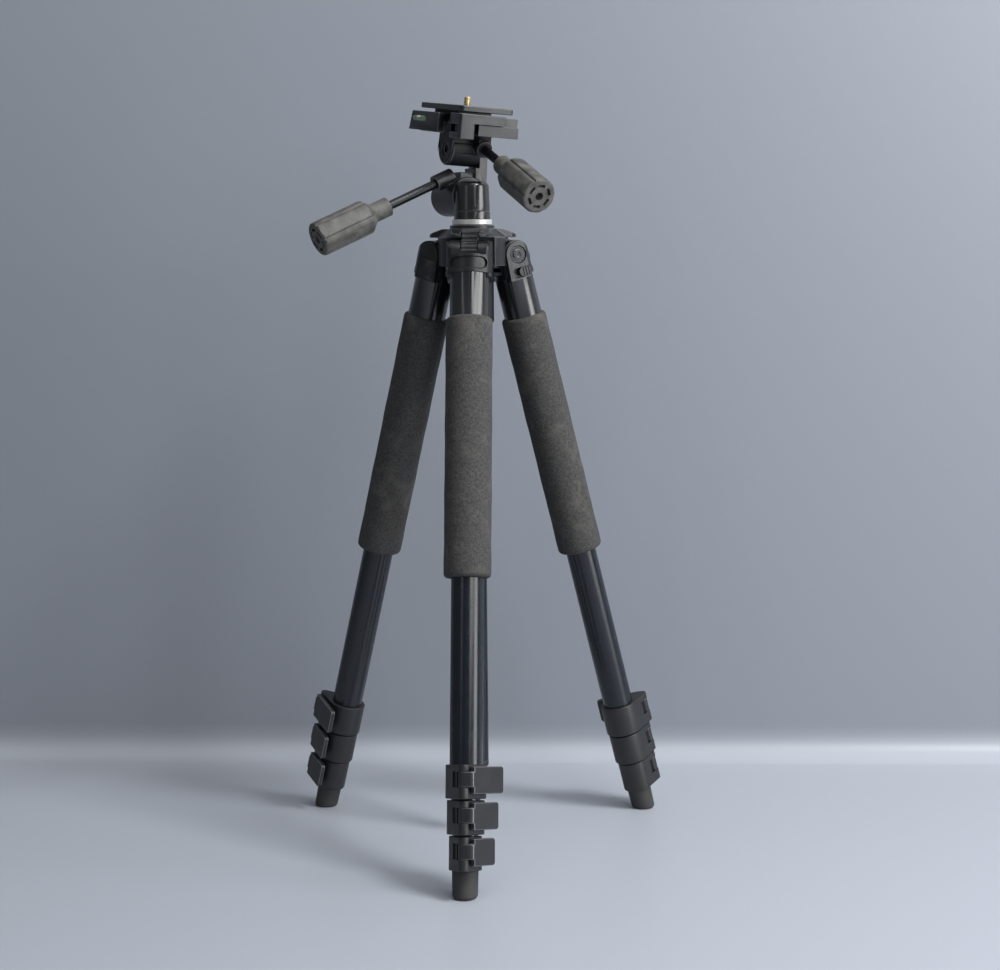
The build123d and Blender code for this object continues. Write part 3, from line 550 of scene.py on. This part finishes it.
# Waves of the hand-cut outside: height, radians per metre and start.
FOAM_WAVES = ((0.00012, 95, 0), (0.00008, 211, 1))
turn = np.linspace(0, pi / 2, LIP_STEPS)
lip = FOAM_RADIUS - FOAM_LIP * (1 - np.cos(turn))
top_lip = np.stack([FOAM_TOP + FOAM_LIP * (1 - np.sin(turn)), lip], axis=1)[::-1]
low_lip = np.stack([FOAM_BOTTOM - FOAM_LIP * (1 - np.sin(turn)), lip], axis=1)
run = np.linspace(FOAM_TOP + RUN_INSET, FOAM_BOTTOM - RUN_INSET, RUN_STEPS)
wave = sum(tall * np.sin(run * rate + start) for tall, rate, start in FOAM_WAVES)
long_run = np.stack([run, FOAM_RADIUS + wave], axis=1)
bore_run = np.linspace(FOAM_BOTTOM, FOAM_TOP, BORE_STEPS)
bore = np.stack([bore_run, np.full(BORE_STEPS, FOAM_BORE)], axis=1)
foam_profile = np.concatenate([top_lip, long_run, low_lip, bore])
for leg in LEGS:
    foam = surface(
        f"{leg}_foam_sleeve",
        turned(foam_profile, FOAM_SIDES, *leg_axes(leg)),
        closed_cell_foam,
        f"{leg}_leg",
        closed=True,
    )
    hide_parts(f"{leg}_foam_grip")

# Rubber feet: moulded boots pushed over the bottom tubes, dull and dusty from the floor.
FOOT_BLACK = "#252525"
FOOT_DUST = "#3a3a38"
foot_rubber = coated(
    "foot_rubber",
    FOOT_BLACK,
    FOOT_DUST,
    grain=2,
    relief=0.3,
    smooth=0.6,
    dull=0.8,
    IOR=1.52,
)
paint([f"{leg}_foot" for leg in LEGS], foot_rubber)

# Handle grips: thick rubber moulded over a core, fluted along its length and slotted at the end.
# Old rubber has gone warm grey. The ridges are drawn paler, partly as dust and partly as a
# painted highlight.
GRIP_DARK = "#30302e"
GRIP_GREY = "#62615d"
# Ridge colours: partly dust, partly a painted highlight on the raised edges.
GRIP_RIDGE_HIGHLIT = "#6a6963"
GRIP_DUST_HIGHLIT = "#77766f"
GRIP_EDGE = 0.0007
grip_rubber = coated(
    "grip_rubber",
    GRIP_DARK,
    GRIP_GREY,
    grain=1.0,
    relief=0.4,
    smooth=0.5,
    dull=0.7,
    IOR=1.5,
)
dusty_highlit_rubber = coated(
    "dusty_highlit_rubber",
    GRIP_RIDGE_HIGHLIT,
    GRIP_DUST_HIGHLIT,
    grain=1.4,
    relief=0.3,
    smooth=0.55,
    dull=0.75,
    IOR=1.5,
)
for handle in ("side", "tilt"):
    soften(f"{handle}_handle_grip", f"{handle}_handle", grip_rubber, dusty_highlit_rubber, GRIP_EDGE)

# Handle rods, leg pivot bolts and the tilt bolt: turned steel, blackened in hot oil. The
# black skin is rubbed to bare metal along the bolts' edges.
STEEL_BLACK = "#141517"
STEEL_GREY = "#222326"
STEEL_RUBBED = "#4a4b4d"
STEEL_BARE = "#6b6c6e"
BOLT_EDGE = 0.0004
black_steel = coated(
    "blackened_steel",
    STEEL_BLACK,
    STEEL_GREY,
    grain=2.5,
    relief=0.01,
    smooth=0.2,
    dull=0.34,
    Metallic=0.5,
)
bare_steel = coated(
    "rubbed_steel",
    STEEL_RUBBED,
    STEEL_BARE,
    grain=1,
    relief=0.01,
    smooth=0.25,
    dull=0.4,
    Metallic=0.8,
)
paint(["side_handle_rod", "tilt_handle_rod"], black_steel)
soften("leg_pivot_bolts", "hub", black_steel, bare_steel, BOLT_EDGE)
soften("tilt_bolt", "lean", black_steel, bare_steel, BOLT_EDGE)

# Pan ring: turned aluminium left bright, with fine lathe lines round it. It is clamped on
# the column's top, and the pan base turns on it.
RING_SILVER = "#d6d6d2"
LATHE_LINE = 0.5
LATHE_SQUEEZE = (0.05, 0.05, 1)
RING_EDGE = 0.0005
turned_silver, tree, shader = blank(
    "turned_silver", Base_Color=linear(RING_SILVER), Metallic=0.45
)
place = add(tree, "ShaderNodeTexCoord", {}, {})
lathe = add(
    tree, "ShaderNodeMapping", {"Scale": LATHE_SQUEEZE}, {"Vector": place.outputs["Object"]}
)
lines = add(
    tree,
    "ShaderNodeTexNoise",
    {"Scale": per_mm(LATHE_LINE), "Detail": 2},
    {"Vector": lathe.outputs[0]},
)
polish = add(
    tree, "ShaderNodeMapRange", {"To Min": 0.3, "To Max": 0.5}, {"Value": lines.outputs["Fac"]}
)
tree.links.new(polish.outputs[0], shader.inputs["Roughness"])
bump = add(
    tree,
    "ShaderNodeBump",
    {"Strength": 0.2, "Distance": 0.0001},
    {"Height": lines.outputs["Fac"]},
)
tree.links.new(bump.outputs[0], shader.inputs["Normal"])
soften("pan_ring", "column", turned_silver, turned_silver, RING_EDGE)

# Camera screw: turned brass, held in the plate by its head, with a quarter inch thread of
# twenty turns to the inch above the plate.
BRASS_PALE = "#e2d2a6"
BRASS_DULL = "#c8b07a"
turned_brass = coated(
    "turned_brass",
    BRASS_DULL,
    BRASS_PALE,
    grain=1.5,
    relief=0.05,
    smooth=0.22,
    dull=0.36,
    Metallic=0.75,
)
THREAD_RADIUS = 0.003175
THREAD_DEPTH = 0.00055
THREAD_PITCH = 0.00127
THREAD_START = 0.0006
THREAD_END = 0.008
THREAD_CHAMFER = 0.0007
THREAD_FLANK = 1.3
THREAD_CREST = 0.15
THREAD_RINGS = 120
THREAD_SIDES = 48
HEAD_TOP = 0.97 * THREAD_START
SCREW_EDGE = 0.0003
backward = np.array(joints["plate_slide"]["axis"])
outward = np.cross(upward, backward)
head = soften("camera_screw", "screw", turned_brass, turned_brass, SCREW_EDGE)
work = bmesh.new()
work.from_mesh(head.data)
bmesh.ops.bisect_plane(
    work,
    geom=[*work.verts, *work.edges, *work.faces],
    plane_co=screw_foot + HEAD_TOP * upward,
    plane_no=upward,
    clear_outer=True,
)
bmesh.ops.holes_fill(work, edges=[edge for edge in work.edges if edge.is_boundary])
work.to_mesh(head.data)
work.free()


def thread(rings, sides):
    """Radius = outer radius less a ridge wave that climbs one pitch in each turn, chamfered."""
    height = np.linspace(THREAD_START, THREAD_END, rings)[:, None]
    angle = np.linspace(0, 2 * pi, sides, endpoint=False)[None, :]
    step = (height / THREAD_PITCH - angle / (2 * pi)) % 1
    valley = np.clip(THREAD_FLANK * np.abs(2 * step - 1) - THREAD_CREST, 0, 1)
    chamfer = np.clip(1 - (THREAD_END - height) / THREAD_CHAMFER, 0, 1)
    radius = THREAD_RADIUS - THREAD_DEPTH * np.maximum(valley, chamfer)
    radius = np.concatenate([np.zeros((1, sides)), radius, np.zeros((1, sides))])
    height = np.concatenate([height[:1], height, height[-1:]])
    spoke = np.cos(angle)[..., None] * outward + np.sin(angle)[..., None] * backward
    return screw_foot + height[..., None] * upward + radius[..., None] * spoke


surface(
    "camera_thread",
    thread(THREAD_RINGS, THREAD_SIDES),
    turned_brass,
    "screw",
    closed=False,
)

# Bubble level: an acrylic vial of green spirit pressed into the platform's wing, with two
# printed marks round it and one bubble. Its size is read from the CAD solid.
SPIRIT_DARK = "#3c4f2a"
SPIRIT_PALE = "#8fb07a"
AIR_SHADE = "#c9dcb6"
AIR_PALE = "#e2ecd6"
PRINT_BLACK = "#101112"
PRINT_GREY = "#1a1b1c"
spirit_vial = coated(
    "spirit_vial",
    SPIRIT_DARK,
    SPIRIT_PALE,
    grain=2.5,
    relief=0.02,
    smooth=0.05,
    dull=0.12,
    IOR=1.49, Coat_Weight=0.6,
)
bubble_air = coated(
    "bubble_air",
    AIR_SHADE,
    AIR_PALE,
    grain=2,
    relief=0.02,
    smooth=0.05,
    dull=0.1,
    IOR=1.33,
)
level_print = coated(
    "level_print",
    PRINT_BLACK,
    PRINT_GREY,
    grain=1,
    relief=0.02,
    smooth=0.3,
    dull=0.4,
    IOR=1.5,
)
VIAL_SIDES = 40
VIAL_STEPS = 41
DOME_POWER = 14
level_mesh = frame["nodes"]["bubble_level"].data
corners = np.empty(3 * len(level_mesh.vertices))
level_mesh.vertices.foreach_get("co", corners)
level_axes = np.stack([backward, outward, upward])
reach = corners.reshape(-1, 3) @ level_axes.T
vial_middle = (reach.min(axis=0) + reach.max(axis=0)) / 2 @ level_axes
vial_half, vial_radius, _ = np.ptp(reach, axis=0) / 2
length = vial_half * np.sin(np.linspace(-pi / 2, pi / 2, VIAL_STEPS))
dome = vial_radius * (1 - np.abs(length / vial_half) ** DOME_POWER) ** 0.5
vial_profile = np.stack([length, dome], axis=1)
vial = surface(
    "level_vial",
    turned(vial_profile, VIAL_SIDES, vial_middle, outward, upward, backward),
    spirit_vial,
    "platform",
    closed=False,
)
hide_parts("bubble_level")
MARK_GAP = 0.0052
MARK_HALF = 0.0003
MARK_PROUD = 0.00004
mark_inside = 0.97 * vial_radius
mark_outside = vial_radius + MARK_PROUD
for mark in (-MARK_GAP, MARK_GAP):
    band = np.array([
        [mark - MARK_HALF, mark_inside],
        [mark - MARK_HALF, mark_outside],
        [mark + MARK_HALF, mark_outside],
        [mark + MARK_HALF, mark_inside],
    ])
    surface(
        "level_mark_back" if mark > 0 else "level_mark_front",
        turned(band, VIAL_SIDES, vial_middle, outward, upward, backward),
        level_print,
        "platform",
        closed=True,
    )
BUBBLE_HALF = 0.0042
BUBBLE_WIDE = 0.0013
BUBBLE_DEEP = 0.0004
BUBBLE_OUT, BUBBLE_UP = 0.9, 0.44
swing = np.linspace(-pi / 2, pi / 2, 17)[:, None, None]
round_way = np.linspace(0, 2 * pi, 28, endpoint=False)[None, :, None]
face_way = outward if (vial_middle - screw_foot) @ outward > 0 else -outward
lift = BUBBLE_OUT * face_way + BUBBLE_UP * upward
flank = np.cross(backward, lift)
surface(
    "level_bubble",
    vial_middle
    + vial_radius * lift
    + BUBBLE_HALF * np.sin(swing) * backward
    + np.cos(swing) * np.cos(round_way) * BUBBLE_WIDE * flank
    + np.cos(swing) * np.sin(round_way) * BUBBLE_DEEP * lift,
    bubble_air,
    "platform",
    closed=False,
)

# Studio: a grey plastic sheet on the floor that bends up into a wall close behind, and is
# clear from its back. Large windows stand to the right and above, a narrow one to the left.
FLOOR_PALE = "#abb0b9"
# Painted shade: the wall part of the sheet is drawn darker than its floor part.
WALL_SHADE_GREY = "#878c95"
SKY_PALE = "#dfe3ea"
SKY_STRENGTH = 0.2
BLEND_TOP = 0.025
pvc_sheet, tree, shader = blank("pvc_sheet", Roughness=0.4, IOR=1.5)
place = add(tree, "ShaderNodeTexCoord", {}, {})
height = add(tree, "ShaderNodeSeparateXYZ", {}, {0: place.outputs["Object"]})
# Mask for the painted shade, going from the floor colour to the darker wall colour.
wall_shade_rise = add(
    tree,
    "ShaderNodeMapRange",
    {"From Max": BLEND_TOP, "interpolation_type": "SMOOTHSTEP"},
    {"Value": height.outputs["Z"]},
)
tint = add(
    tree,
    "ShaderNodeMix",
    {"data_type": "RGBA", 6: linear(FLOOR_PALE), 7: linear(WALL_SHADE_GREY)},
    {0: wall_shade_rise.outputs[0]},
)
tree.links.new(tint.outputs[2], shader.inputs["Base Color"])
seen_from = add(tree, "ShaderNodeNewGeometry", {}, {})
clear = add(tree, "ShaderNodeBsdfTransparent", {}, {})
one_way = add(
    tree,
    "ShaderNodeMixShader",
    {},
    {0: seen_from.outputs["Backfacing"], 1: shader.outputs[0], 2: clear.outputs[0]},
)
tree.links.new(one_way.outputs[0], tree.nodes["Material Output"].inputs["Surface"])
SHEET_NEAR = -3.0
SHEET_TOP = 3.2
SHEET_HALF = 4.0
BEND_START = 0.29
BEND_RADIUS = 0.035
BEND_STEPS = 32
bend = np.linspace(0, pi / 2, BEND_STEPS)
bend_run = np.stack(
    [BEND_START + BEND_RADIUS * np.sin(bend), BEND_RADIUS * (1 - np.cos(bend))], axis=1
)
sweep = np.concatenate(
    [[[SHEET_NEAR, 0.0]], bend_run, [[BEND_START + BEND_RADIUS, SHEET_TOP]]]
)
count = len(sweep)
sheet_points = np.stack(
    [np.column_stack([np.full(count, x), sweep]) for x in (-SHEET_HALF, SHEET_HALF)]
)
strip = np.arange(count - 1)
sheet_faces = np.stack([strip, strip + count, strip + count + 1, strip + 1], axis=1)
sheet_mesh = bpy.data.meshes.new("pvc_sheet")
sheet_mesh.from_pydata(sheet_points.reshape(-1, 3).tolist(), [], sheet_faces.tolist())
sheet_mesh.shade_smooth()
sheet_mesh.materials.append(pvc_sheet)
backdrop = bpy.data.objects.new("pvc_sheet", sheet_mesh)
bpy.context.collection.objects.link(backdrop)


def softbox(name, place, aim, width, height, power):
    """A rectangular lamp at a place, facing a point, that the camera doesn't see."""
    lamp = bpy.data.lights.new(name, "AREA")
    lamp.shape = "RECTANGLE"
    lamp.size = width
    lamp.size_y = height
    lamp.energy = power
    box = bpy.data.objects.new(name, lamp)
    bpy.context.collection.objects.link(box)
    facing = (Vector(aim) - Vector(place)).to_track_quat("-Z", "Y")
    box.matrix_world = Matrix.Translation(place) @ facing.to_matrix().to_4x4()
    box.visible_camera = False


softbox("key_window", (1.3, -0.8, 2.3), (0, 0.05, 0.35), 0.6, 0.6, 48)
softbox("side_window", (1.95, -0.75, 0.75), (0, 0.05, 0.45), 0.9, 1.5, 24)
softbox("front_window", (1.3, -1.6, 1.25), (0, 0.05, 0.4), 1.1, 1.0, 17)
softbox("left_slit", (-1.15, -1.7, 1.2), (0, 0, 0.4), 0.06, 1.0, 1.2)
softbox("ceiling", (0.2, -0.4, 2.4), (0, -0.1, 0), 1.4, 1.2, 10)
world = bpy.data.worlds.new("studio")
world.use_nodes = True
sky = world.node_tree.nodes["Background"]
sky.inputs["Color"].default_value = linear(SKY_PALE)
sky.inputs["Strength"].default_value = SKY_STRENGTH
bpy.context.scene.world = world

# Camera at the photograph's place: about as high as the hub, looking slightly down.
CAMERA_PLACE = (0.1164, -1.6980, 0.5420)
CAMERA_FORWARD = (-0.05200531, 0.99115358, -0.12210662)
CAMERA_ROLL = -0.504
CAMERA_LENS = 69.55
CAMERA_SENSOR = 36
camera = bpy.data.cameras.new("camera")
camera.lens = CAMERA_LENS
camera.sensor_width = CAMERA_SENSOR
viewer = bpy.data.objects.new("camera", camera)
bpy.context.collection.objects.link(viewer)
forward = Vector(CAMERA_FORWARD).normalized()
level = forward.cross(Vector((0, 0, 1))).normalized()
upright = level.cross(forward)
tilt = radians(CAMERA_ROLL)
right_way = cos(tilt) * level + sin(tilt) * upright
up_way = cos(tilt) * upright - sin(tilt) * level
turn_matrix = Matrix((right_way, up_way, -forward)).transposed().to_4x4()
viewer.matrix_world = Matrix.Translation(CAMERA_PLACE) @ turn_matrix
bpy.context.scene.camera = viewer
bpy.context.scene.view_settings.view_transform = "Standard"
